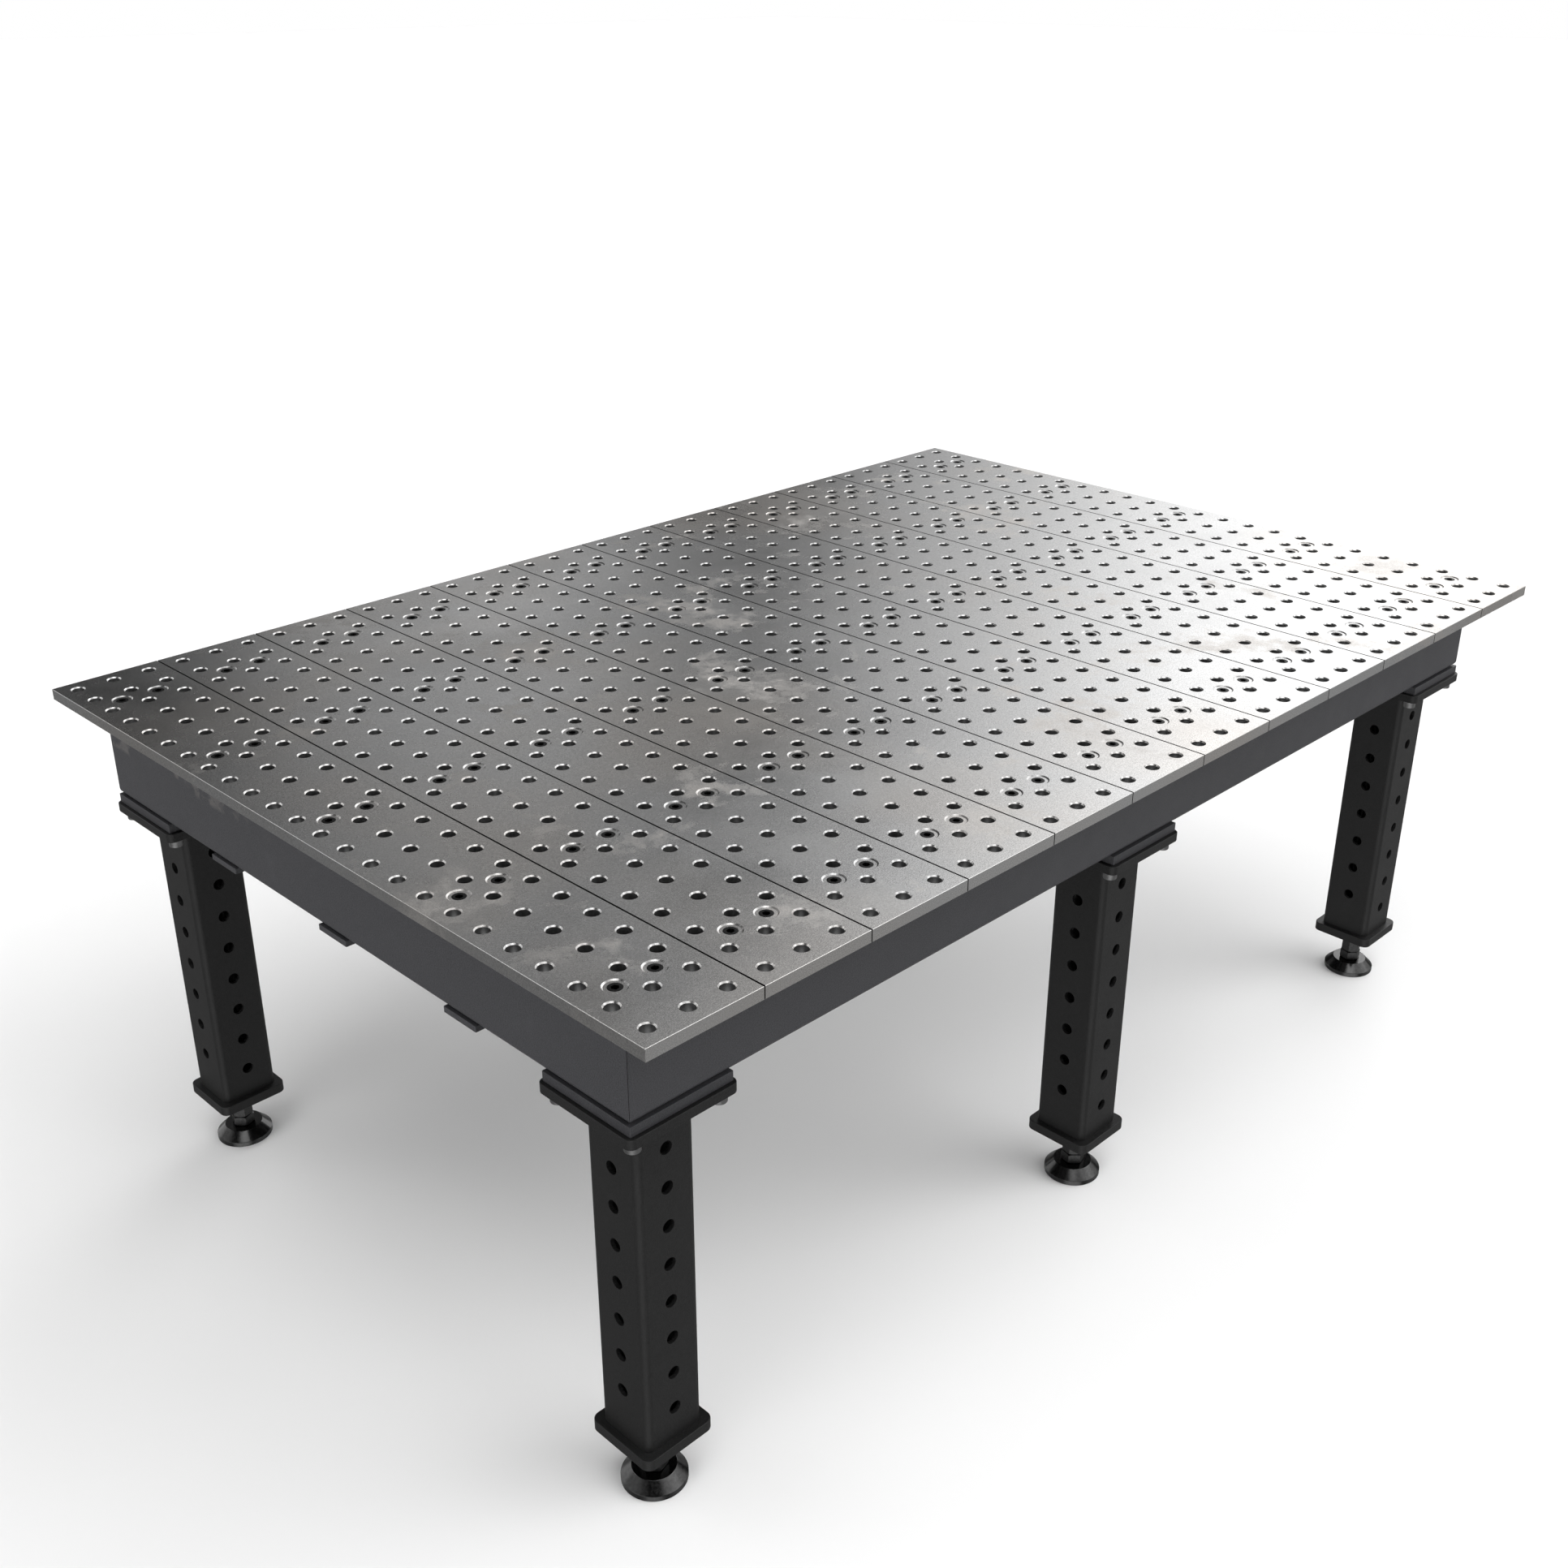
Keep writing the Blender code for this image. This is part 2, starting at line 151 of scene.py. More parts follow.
GROOVE_TOP = HEX_TOP + 0.0010   # of the groove between the hexagon and the thread
THREAD_BOTTOM = HEX_TOP + 0.0015
THREAD_PITCH = 0.0025
THREAD_DEPTH = 0.0012
THREAD_ROWS = 8                 # rows of vertices in one turn
THREAD_TURNS = 16               # the rod above them never leaves the nut
THREAD_RUNOUT = 0.4             # turns from the thread's end to the plain rod

# Finishes
RUBBED_TONE = 1.5               # against the paint's lighter tone
WORN_TONE = 2.6
WORN_TINT = 0.07
# worn strip of paint on the left rail: for each axis, where the wear begins and where it is full
WEAR_LIMITS = (("X", -0.855, -0.860), ("Y", 0.10, 0.25), ("Z", 0.627, 0.632))

# View and light
CAMERA_PLACE = (-1.7332, -1.6083, 1.5721)
CAMERA_TURN = (math.radians(64.774), 0.0, math.radians(-45.01))
CAMERA_LENS = 40.08
CAMERA_SENSOR = 36.0
FLOOR_SIZE = 80.0
GROUND_GLOW = 0.22              # strength of the surroundings below the horizon
WALL_GLOW = 0.04                # and above it, between the soft lights
GLOW_BORDER = (-0.06, 0.02)     # sines of elevation between which the glow changes
# azimuth from +X, elevation, and the radii where the light is full and where it ends, in degrees,
# then strength
SOFT_LIGHTS = (
    (-44, 15, 8, 38, 0.6),
    (-12, 30, 8, 26, 0.9),
    (17, 14, 4, 21, 1.6),
    (34, 18, 3, 12, 0.8),
    (56, 18, 2, 10, 0.6),
    (103, 9, 6, 28, 1.1),
    (146, 16, 8, 40, 0.6),
    (190, 9, 8, 36, 0.9),
    (-64, 40, 10, 38, 1.2),
    (15, 42, 8, 28, 2.05),
    (48, 40, 6, 26, 0.2),
    (124, 38, 3, 14, 1.6),
    (-33, 38, 3, 14, 1.2),
    (232, 70, 8, 25, 2.4),
    (0, 85, 8, 28, 0.8),
    (-22, -16, 6, 22, 0.12),
    (225, -25, 10, 40, 1.0),
    (-50, -34, 8, 30, 0.2),
)
# azimuth and elevation in degrees, then strength
SIDE_LAMPS = ((-44, 15, 0.95), (103, 9, 0.25), (146, 16, 0.25), (190, 4, 2.0), (-64, 40, 0.65),
              (232, 70, 0.35))
SIDE_LAMP_ANGLE = math.radians(42)


# Meshes

def centre_of(node):
    """Middle of a CAD node in X and Y."""
    low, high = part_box(node)
    return (low.x + high.x) / 2, (low.y + high.y) / 2


def ring(shape, centre, places):
    """Vertices round an axis along Z, one for each (radius, height), counter-clockwise."""
    made = []
    for step, (radius, height) in enumerate(places):
        angle = math.tau * step / len(places)
        x = centre[0] + radius * math.cos(angle)
        y = centre[1] + radius * math.sin(angle)
        made.append(shape.verts.new((x, y, height)))
    return made


def circle(shape, centre, radius, height, steps):
    """Vertices on a level circle."""
    return ring(shape, centre, [(radius, height)] * steps)


def outline(shape, points, height):
    """Vertices at (x, y) points, all at one height."""
    return [shape.verts.new((x, y, height)) for x, y in points]


def band(shape, first, second):
    """Quads between two closed rows of vertices of the same length."""
    for index in range(len(first)):
        after = (index + 1) % len(first)
        shape.faces.new((first[index], first[after], second[after], second[index]))


def bands(shape, rows):
    """A band between each row of vertices and the next."""
    for first, second in zip(rows, rows[1:]):
        band(shape, first, second)


def fill(shape, rows):
    """Triangles in the flat area inside the first row and outside the others."""
    edges = []
    for row in rows:
        for index in range(len(row)):
            pair = (row[index], row[(index + 1) % len(row)])
            edges.append(shape.edges.get(pair) or shape.edges.new(pair))
    bmesh.ops.triangle_fill(shape, edges=edges, use_beauty=True)


def cone_fill(shape, row, tip):
    """Triangles from a closed row of vertices to one point."""
    top = shape.verts.new(tip)
    for index in range(len(row)):
        shape.faces.new((row[index], row[(index + 1) % len(row)], top))


def finished(shape, name):
    """The mesh of a closed shape, with its faces pointing out and its corners sharp."""
    bmesh.ops.recalc_face_normals(shape, faces=shape.faces)
    mesh = bpy.data.meshes.new(name)
    shape.to_mesh(mesh)
    shape.free()
    mesh.shade_smooth()
    mesh.set_sharp_from_angle(angle=SHARP_ANGLE)
    return mesh


def rectangle(width, length, step):
    """Corner and edge points of a rectangle round (0, 0), counter-clockwise."""
    across = max(1, round(width / step))
    along = max(1, round(length / step))
    half_x, half_y = width / 2, length / 2
    points = [(-half_x + width * i / across, -half_y) for i in range(across)]
    points += [(half_x, -half_y + length * i / along) for i in range(along)]
    points += [(half_x - width * i / across, half_y) for i in range(across)]
    points += [(-half_x, half_y - length * i / along) for i in range(along)]
    return points


def rounded_rectangle(width, length, radius, steps):
    """Points of a rectangle round (0, 0) whose corners are arcs, counter-clockwise."""
    points = []
    for quarter, (side_x, side_y) in enumerate(((1, 1), (-1, 1), (-1, -1), (1, -1))):
        x = side_x * (width / 2 - radius)
        y = side_y * (length / 2 - radius)
        for step in range(steps + 1):
            angle = math.radians(90) * (quarter + step / steps)
            points.append((x + radius * math.cos(angle), y + radius * math.sin(angle)))
    return points


def hexagon_radii(flats, steps, first_angle=0.0):
    """Distance from the axis to a hexagon's side at each of the equal steps round it."""
    radii = []
    for step in range(steps):
        from_flat = (math.tau * step / steps - first_angle) % math.radians(60) - math.radians(30)
        radii.append(flats / 2 / math.cos(from_flat))
    return radii


def moved(points, centre):
    """(x, y) points round (0, 0), shifted to lie round a centre."""
    return [(centre[0] + x, centre[1] + y) for x, y in points]


def add_piece(name, mesh, material, body, nodes):
    """A named piece that rides on a body and stands for one or more CAD nodes."""
    piece = bpy.data.objects.new(name, mesh)
    bpy.context.scene.collection.objects.link(piece)
    mesh.materials.append(material)
    weighted = piece.modifiers.new("even_shading", "WEIGHTED_NORMAL")
    weighted.keep_sharp = True
    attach(piece, body)
    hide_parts(*nodes)
    return piece


# Top

def plank_screw_places(node):
    middle = centre_of(node)[0]
    return [(middle + side, y) for side in (-SCREW_OFFSET_X, SCREW_OFFSET_X) for y in SCREW_ROWS]


def plank_hole_places(node):
    low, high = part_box(node)
    count = round((high.y - low.y) / HOLE_PITCH)
    across = [centre_of(node)[0] + HOLE_PITCH * step for step in (-1, 0, 1)]
    along = [low.y + HOLE_PITCH * (step + 0.5) for step in range(count)]
    return [(x, y) for x in across for y in along]


def drilled_hole(shape, place, bottom, top):
    """The wall of a round hole with chamfered ends, and its upper and lower rims."""
    rows = [
        circle(shape, place, HOLE_RADIUS + HOLE_CHAMFER, top, HOLE_STEPS),
        circle(shape, place, HOLE_RADIUS, top - HOLE_CHAMFER, HOLE_STEPS),
        circle(shape, place, HOLE_RADIUS, bottom + HOLE_LOWER_CHAMFER, HOLE_STEPS),
        circle(shape, place, HOLE_RADIUS + HOLE_LOWER_CHAMFER, bottom, HOLE_STEPS),
    ]
    bands(shape, rows)
    return rows[0], rows[-1]


def screw_recess(shape, place, top):
    """A blind recess with a chamfered rim and a flat ring round its bore."""
    rows = [
        circle(shape, place, RECESS_RIM_RADIUS, top, SCREW_STEPS),
        circle(shape, place, RECESS_RING_RADIUS, top - RECESS_DEPTH, SCREW_STEPS),
        circle(shape, place, RECESS_BORE_RADIUS, top - RECESS_DEPTH, SCREW_STEPS),
        circle(shape, place, RECESS_BORE_RADIUS, top - RECESS_BORE_DEPTH, SCREW_STEPS),
    ]
    bands(shape, rows)
    shape.faces.new(rows[-1])
    return rows[0]


def plank_mesh(node):
    """A plank with chamfered edges, its fixture holes and its screw recesses."""
    low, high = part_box(node)
    width, length = high.x - low.x, high.y - low.y
    shape = bmesh.new()
    sides = []
    for inset, height in ((PLANK_CHAMFER, high.z), (0.0, high.z - PLANK_CHAMFER),
                          (0.0, low.z + PLANK_CHAMFER), (PLANK_CHAMFER, low.z)):
        # the inset is too small to change how many points a side has
        points = rectangle(width - 2 * inset, length - 2 * inset, EDGE_STEP)
        sides.append(outline(shape, moved(points, centre_of(node)), height))
    bands(shape, sides)
    upper_rims, lower_rims = [], []
    for place in plank_hole_places(node):
        upper, lower = drilled_hole(shape, place, low.z, high.z)
        upper_rims.append(upper)
        lower_rims.append(lower)
    recesses = [screw_recess(shape, place, high.z) for place in plank_screw_places(node)]
    fill(shape, [sides[0]] + upper_rims + recesses)
    fill(shape, [sides[-1]] + lower_rims)
    mesh = finished(shape, node)
    give_plank_finish_and_shade(mesh, low.x, high.x)
    return mesh


def give_plank_finish_and_shade(mesh, left, right):
    """Hole and recess walls get a rough cut finish whose darkness is partly painted shade; seam
    faces get near-black painted shade; the table's own edges get neither.
    """
    for face in mesh.polygons:
        spot = face.center
        outermost = (abs(spot.x) > cad_high.x - PLANK_CHAMFER
                     or abs(spot.y) > cad_high.y - PLANK_CHAMFER)
        along_seam = min(spot.x - left, right - spot.x) < PLANK_CHAMFER
        upright = abs(face.normal.z) < 0.5
        if along_seam and not outermost:
            face.material_index = SEAM_SHADE
        elif upright and not outermost:
            face.material_index = CUT_STEEL_AND_SHADE


def cap_screw(shape, place, screw, bottom, top):
    """A cylindrical screw head with a hexagon socket, facing down where top is below bottom."""
    way = 1 if top > bottom else -1
    socket = hexagon_radii(screw.socket_flats, SCREW_STEPS)
    socket_floor = top - way * screw.socket_depth
    middle = EDGE_MIDDLE * screw.edge
    rows = [
        circle(shape, place, screw.radius, bottom, SCREW_STEPS),
        circle(shape, place, screw.radius, top - way * screw.edge, SCREW_STEPS),
        circle(shape, place, screw.radius - middle, top - way * middle, SCREW_STEPS),
        circle(shape, place, screw.radius - screw.edge, top, SCREW_STEPS),
        ring(shape, place, [(radius, top) for radius in socket]),
        ring(shape, place, [(radius, socket_floor) for radius in socket]),
    ]
    bands(shape, rows)
    shape.faces.new(rows[0])
    tip = socket_floor - way * screw.socket_flats * SOCKET_TIP_DEPTH
    cone_fill(shape, rows[-1], (*place, tip))


def plank_screws_mesh(node):
    """The ten cap screws in a plank's recesses."""
    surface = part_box(node)[1].z
    shape = bmesh.new()
    for place in plank_screw_places(node):
        cap_screw(shape, place, PLANK_SCREW, surface - RECESS_BORE_DEPTH + SCREW_HEAD_GAP,
                  surface - SCREW_HEAD_TOP)
    return finished(shape, "screws_" + node)


def build_top():
    for node in sorted(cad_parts):
        if node.startswith("top_plank_"):
            number = node[-2:]
            plank = add_piece(f"plank_{number}", plank_mesh(node), plank_steel, "root",
                              [node])
            # extra materials: cut finish with painted shade in holes and recesses, painted shade in
            # the seams
            plank.data.materials.append(cut_steel_and_shade)
            plank.data.materials.append(seam_shade)
            add_piece(f"plank_screws_{number}", plank_screws_mesh(node), black_screw, "root",
                      [node])


# Frame

def rail_mesh(node, along_x, mitred_toward):
    """A hollow tube; mitred_toward is the side of its longer face, +1 or -1, or 0 if square."""
    low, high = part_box(node)
    middle = (low + high) / 2
    size = high - low
    width = size.y if along_x else size.x
    length = size.x if along_x else size.y
    shape = bmesh.new()
    rows = []
    for wall, radius in ((0.0, TUBE_RADIUS), (TUBE_WALL, TUBE_RADIUS - TUBE_WALL)):
        section = rounded_rectangle(width - 2 * wall, size.z - 2 * wall, radius, TUBE_CORNER_STEPS)
        for end in (-1, 1):
            row = []
            for across, up in section:
                cut_back = (width / 2 - mitred_toward * across) * abs(mitred_toward)
                along = end * (length / 2 - cut_back)
                x, y = (along, across) if along_x else (across, along)
                row.append(shape.verts.new(middle + Vector((x, y, up))))
            rows.append(row)
    outer_start, outer_end, inner_start, inner_end = rows
    bands(shape, [inner_start, outer_start, outer_end, inner_end, inner_start])
    return finished(shape, node)


def slab(shape, outline_at, bottom, top, edge, holes=()):
    """A flat plate with rounded edges; outline_at(inset) gives its outline's points."""
    rows = []
    for height, way in ((bottom, 1), (top, -1)):
        side = []
        for step in range(PLATE_EDGE_STEPS + 1):
            angle = math.radians(90) * step / PLATE_EDGE_STEPS
            inset = edge * (1 - math.sin(angle))
            rise = edge * (1 - math.cos(angle))
            side.append(outline(shape, outline_at(inset), height + way * rise))
        rows += side if way > 0 else side[::-1]
    bands(shape, rows)
    lower_rims, upper_rims = [], []
    for place, radius in holes:
        lower_rims.append(circle(shape, place, radius, bottom, HOLE_STEPS))
        upper_rims.append(circle(shape, place, radius, top, HOLE_STEPS))
        band(shape, lower_rims[-1], upper_rims[-1])
    fill(shape, [rows[0]] + lower_rims)
    fill(shape, [rows[-1]] + upper_rims)


def rounded_outline(centre, width, length, radius, steps):
    """A function of the inset that gives a rounded rectangle's points round a centre."""
    def points(inset):
        flat = rounded_rectangle(width - 2 * inset, length - 2 * inset, radius - inset, steps)
        return moved(flat, centre)
    return points


def pad_mesh(node, thickness=None):
    """A flat plate with nearly square edges; it fills its CAD node's box if not told how thick."""
    low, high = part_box(node)
    bottom = high.z - thickness if thickness else low.z
    shape = bmesh.new()
    slab(shape, rounded_outline(centre_of(node), high.x - low.x, high.y - low.y,
                                PAD_CORNER_RADIUS, PAD_CORNER_STEPS),
         bottom, high.z, PAD_EDGE)
    return finished(shape, node)


def build_frame():
    mitres = {"frame_rail_front": (True, -1), "frame_rail_back": (True, 1),
              "frame_rail_left": (False, -1), "frame_rail_right": (False, 1)}
    for node in sorted(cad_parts):
        if node.startswith("frame_"):
            along_x, mitred_toward = mitres.get(node, (True, 0))
            add_piece(node.replace("frame_", "tube_"), rail_mesh(node, along_x, mitred_toward),
                      frame_paint, "root", [node])
        elif node.startswith("rail_pad_"):
            add_piece(node.replace("rail_pad", "weld_plate"), pad_mesh(node), frame_paint,
                      "root", [node])


# Legs

def leg_screw_places(centre):
    return moved([(side_x * LEG_SCREW_OFFSET, side_y * LEG_SCREW_OFFSET)
                  for side_x in (-1, 1) for side_y in (-1, 1)], centre)


def drills(centre):
    """Round rods through the leg's walls where its rows of holes are."""
    shape = bmesh.new()
    along_y = Matrix.Rotation(math.radians(90), 4, "X")
    along_x = Matrix.Rotation(math.radians(90), 4, "Y")
    for count, turn in ((LEG_HOLES_FRONT, along_y), (LEG_HOLES_SIDE, along_x)):
        for index in range(count):
            height = LEG_HOLE_MID_HEIGHT + (index - (count - 1) / 2) * LEG_HOLE_PITCH
            bmesh.ops.create_cone(
                shape, cap_ends=True, segments=LEG_HOLE_STEPS, radius1=HOLE_RADIUS,
                radius2=HOLE_RADIUS, depth=DRILL_LENGTH,
                matrix=Matrix.Translation((*centre, height)) @ turn)
    mesh = bpy.data.meshes.new("drills")
    shape.to_mesh(mesh)
    shape.free()
    return mesh


def leg_tube_mesh(centre, bottom, top):
    """A square tube with rows of holes through its four walls."""
    shape = bmesh.new()
    inside = LEG_TUBE_WIDTH - 2 * TUBE_WALL
    outer = moved(rounded_rectangle(LEG_TUBE_WIDTH, LEG_TUBE_WIDTH, LEG_TUBE_RADIUS,
                                    TUBE_CORNER_STEPS), centre)
    inner = moved(rounded_rectangle(inside, inside, LEG_TUBE_RADIUS - TUBE_WALL,
                                    TUBE_CORNER_STEPS), centre)
    rows = [
        outline(shape, outer, bottom), outline(shape, outer, top),
        outline(shape, inner, top), outline(shape, inner, bottom),
    ]
    bands(shape, rows + rows[:1])
    return drilled(finished(shape, "leg_tube"), drills(centre))


def drilled(mesh, tool_mesh):
    """The mesh after the tool has been cut from it."""
    target = bpy.data.objects.new("drilled", mesh)
    tool = bpy.data.objects.new("tool", tool_mesh)
    for item in (target, tool):
        bpy.context.scene.collection.objects.link(item)
    cut = target.modifiers.new("holes", "BOOLEAN")
    cut.operation = "DIFFERENCE"
    cut.solver = "EXACT"
    cut.object = tool
    bpy.context.view_layer.update()
    graph = bpy.context.evaluated_depsgraph_get()
    result = bpy.data.meshes.new_from_object(target.evaluated_get(graph))
    bpy.data.objects.remove(target, do_unlink=True)
    bpy.data.objects.remove(tool, do_unlink=True)
    return result


def leg_mesh(node):
    """The holed tube with its top plate and its foot plate."""
    low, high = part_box(node)
    centre = centre_of(node)
    foot_plate_top = low.z + LEG_FOOT_PLATE_THICKNESS
    top_plate_bottom = high.z - LEG_TOP_PLATE_THICKNESS
    top_plate_width = high.x - low.x
    shape = bmesh.new()
    shape.from_mesh(leg_tube_mesh(centre, foot_plate_top, top_plate_bottom))
    slab(shape, rounded_outline(centre, top_plate_width, top_plate_width,
                                LEG_TOP_PLATE_RADIUS, TUBE_CORNER_STEPS),
         top_plate_bottom, high.z, PLATE_EDGE,
         [(place, LEG_SCREW_HOLE_RADIUS) for place in leg_screw_places(centre)])
    slab(shape, rounded_outline(centre, LEG_FOOT_PLATE_WIDTH, LEG_FOOT_PLATE_WIDTH,
                                LEG_FOOT_PLATE_RADIUS, TUBE_CORNER_STEPS),
         low.z, foot_plate_top, PLATE_EDGE, [(centre, NUT_BORE_RADIUS)])
    return finished(shape, node)


def leg_bolts_mesh(name, leg_node):
    """The four cap screws under the leg's top plate, heads down."""
    plate_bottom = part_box(leg_node)[1].z - LEG_TOP_PLATE_THICKNESS
    shape = bmesh.new()
    for place in leg_screw_places(centre_of(leg_node)):
        cap_screw(shape, place, LEG_SCREW, plate_bottom, plate_bottom - LEG_SCREW_HEAD_HEIGHT)
    return finished(shape, name)


# Levelling feet

def turned_rows(shape, centre, profile):
    """Rows of vertices round the turning axis from (radius, height) points."""
    return [circle(shape, centre, radius, height, FOOT_STEPS) for radius, height in profile]


def ball_profile(radius, neck_radius):
    """(radius, height) points of a ball, from just above its lowest point up to its neck."""
    last = math.degrees(math.acos(neck_radius / radius))
    points = []
    for step in range(1, BALL_STEPS + 1):
        angle = math.radians(-90 + (last + 90) * step / BALL_STEPS)
        points.append((radius * math.cos(angle), BALL_CENTRE + radius * math.sin(angle)))
    return points


def base_mesh(node):
    """A coned disc with softened rims and a ball socket."""
    low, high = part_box(node)
    centre = centre_of(node)
    radius = (high.x - low.x) / 2
    profile = ball_profile(SOCKET_RADIUS, BASE_NECK_HOLE_RADIUS) + [
        (BASE_NECK_HOLE_RADIUS, high.z - BASE_TOP_DROP),
        (BASE_NECK_HOLE_RADIUS + BASE_TOP_DROP, high.z),
        (BASE_RING_RADIUS - BASE_RING_EDGE, high.z),
        (BASE_RING_RADIUS, high.z - BASE_TOP_DROP),
        (radius - BASE_RIM_EDGE, low.z + BASE_RIM_HEIGHT + BASE_RIM_EDGE),
        (radius, low.z + BASE_RIM_HEIGHT - BASE_RIM_DROP),
        (radius, low.z + BASE_CHAMFER),
        (radius - BASE_CHAMFER, low.z),
    ]
    shape = bmesh.new()
    rows = turned_rows(shape, centre, profile)
    bands(shape, rows)
    cone_fill(shape, rows[0], (*centre, BALL_CENTRE - SOCKET_RADIUS))
    cone_fill(shape, rows[-1], (*centre, low.z))
    return finished(shape, node)


def hex_rows(shape, centre, flats, bottom, top, chamfer_top):
    """Side rows of a hexagon with its corners turned off below, and above if chamfer_top."""
    radii = hexagon_radii(flats, FOOT_STEPS, HEX_CORNER_ANGLE)
    face = flats / 2 * HEX_FACE
    chamfer = [(radius, (radius - face) * HEX_CHAMFER_SLOPE) for radius in radii]
    rows = [
        circle(shape, centre, face, bottom, FOOT_STEPS),
        ring(shape, centre, [(radius, bottom + drop) for radius, drop in chamfer]),
    ]
    if chamfer_top:
        rows.append(ring(shape, centre, [(radius, top - drop) for radius, drop in chamfer]))
        rows.append(circle(shape, centre, face, top, FOOT_STEPS))
    else:
        rows.append(ring(shape, centre, [(radius, top) for radius in radii]))
    return rows


def nut_mesh(node):
    """A long hexagon nut with its lower corners turned off, and its bore."""
    low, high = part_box(node)
    centre = centre_of(node)
    shape = bmesh.new()
    sides = hex_rows(shape, centre, NUT_FLATS, low.z, high.z, chamfer_top=False)
    bore = turned_rows(shape, centre, [(NUT_BORE_RADIUS, high.z), (NUT_BORE_RADIUS, low.z)])
    bands(shape, sides + bore + sides[:1])
    return finished(shape, node)


def thread_rows(shape, centre):
    """Level rows of a rod's right-hand thread; the radius follows the turn and the height."""
    rows = []
    for index in range(THREAD_TURNS * THREAD_ROWS + 1):
        turn = index / THREAD_ROWS
        height = THREAD_BOTTOM + turn * THREAD_PITCH
        places = []
        for step in range(FOOT_STEPS):
            phase = (turn - step / FOOT_STEPS) % 1.0
            valley = abs(2 * phase - 1)
            places.append((ROD_RADIUS - THREAD_DEPTH * valley, height))
        rows.append(ring(shape, centre, places))
    return rows


def stud_mesh(node):
    """Ball, neck, spanner hexagon and threaded rod."""
    centre = centre_of(node)
    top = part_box(node)[1].z
    ball = ball_profile(BALL_RADIUS, NECK_RADIUS)
    groove_radius = ROD_RADIUS - THREAD_DEPTH
    plain_bottom = THREAD_BOTTOM + (THREAD_TURNS + THREAD_RUNOUT) * THREAD_PITCH
    rod_end = [(ROD_RADIUS, plain_bottom), (ROD_RADIUS, top - ROD_CHAMFER),
               (ROD_RADIUS - ROD_CHAMFER, top)]
    shape = bmesh.new()
    rows = turned_rows(shape, centre, ball + [(NECK_RADIUS, HEX_BOTTOM)])
    rows += hex_rows(shape, centre, HEX_FLATS, HEX_BOTTOM, HEX_TOP, chamfer_top=True)
    rows += turned_rows(shape, centre, [(groove_radius, HEX_TOP), (groove_radius, GROOVE_TOP)])
    rows += thread_rows(shape, centre)
    rows += turned_rows(shape, centre, rod_end)
    bands(shape, rows)
    cone_fill(shape, rows[0], (*centre, BALL_CENTRE - BALL_RADIUS))
    shape.faces.new(rows[-1])
    return finished(shape, node)


def build_legs_and_feet():
    for place in LEG_PLACES:
        add_piece(f"holed_leg_{place}", leg_mesh(f"leg_{place}"), leg_coating, "root",
                  [f"leg_{place}"])
        add_piece(f"pad_plate_{place}", pad_mesh(f"leg_pad_{place}", LEG_PAD_THICKNESS),
                  pad_paint, "root", [f"leg_pad_{place}"])
        add_piece(f"leg_bolts_{place}", leg_bolts_mesh(f"leg_bolts_{place}", f"leg_{place}"),
                  bolt_zinc, "root", [f"leg_pad_{place}"])
        add_piece(f"long_nut_{place}", nut_mesh(f"foot_nut_{place}"), dark_steel, "root",
                  [f"foot_nut_{place}"])
        add_piece(f"stud_{place}", stud_mesh(f"foot_stud_{place}"), dark_steel,
                  f"stud_{place}", [f"foot_stud_{place}"])
        add_piece(f"base_{place}", base_mesh(f"foot_base_{place}"), turned_steel,
                  f"base_{place}", [f"foot_base_{place}"])


# Materials

def add_node(tree, kind, inputs=None, **settings):
    """A shader node with its settings, and with its inputs set or linked."""
    node = tree.nodes.new(kind)
    for name, value in settings.items():
        setattr(node, name, value)
    for name, value in (inputs or {}).items():
        if isinstance(value, bpy.types.NodeSocket):
            tree.links.new(value, node.inputs[name])
        else:
            node.inputs[name].default_value = value
    return node


def new_material(name, **uniform):
    """A material with a Principled shader; its tree and shader are returned with it."""
    material = bpy.data.materials.new(name)
    material.use_nodes = True
    tree = material.node_tree
    shader = tree.nodes["Principled BSDF"]
    for socket, value in uniform.items():
        shader.inputs[socket.replace("_", " ")].default_value = value
    return material, tree, shader


def place_in(tree):
    """Place on the piece, in metres."""
    return add_node(tree, "ShaderNodeTexCoord").outputs["Object"]


def noise(tree, vector, scale, detail, roughness, distortion=0.0):
    made = add_node(tree, "ShaderNodeTexNoise", {
        "Vector": vector, "Scale": scale, "Detail": detail, "Roughness": roughness,
        "Distortion": distortion})
    return made.outputs["Fac"]


def remap(tree, value, low, high, to_low=0.0, to_high=1.0):
    made = add_node(tree, "ShaderNodeMapRange", {
        "Value": value, "From Min": low, "From Max": high, "To Min": to_low, "To Max": to_high})
    return made.outputs["Result"]


def mix_color(tree, factor, first, second):
    made = add_node(tree, "ShaderNodeMix", {0: factor, 6: first, 7: second}, data_type="RGBA")
    return made.outputs[2]


def add(tree, first, second):
    return add_node(tree, "ShaderNodeMath", {0: first, 1: second}).outputs["Value"]


def multiply(tree, first, second):
    made = add_node(tree, "ShaderNodeMath", {0: first, 1: second}, operation="MULTIPLY")
    return made.outputs["Value"]


def bump(tree, height, strength, distance):
    made = add_node(tree, "ShaderNodeBump", {
        "Height": height, "Strength": strength, "Distance": distance})
    return made.outputs["Normal"]


def gray(value, tint=0.0):
    """A colour a little warmer (tint above 0) or cooler (below 0) than grey."""
    return (value * (1 + max(tint, 0.0)), value, value * (1 - tint), 1.0)


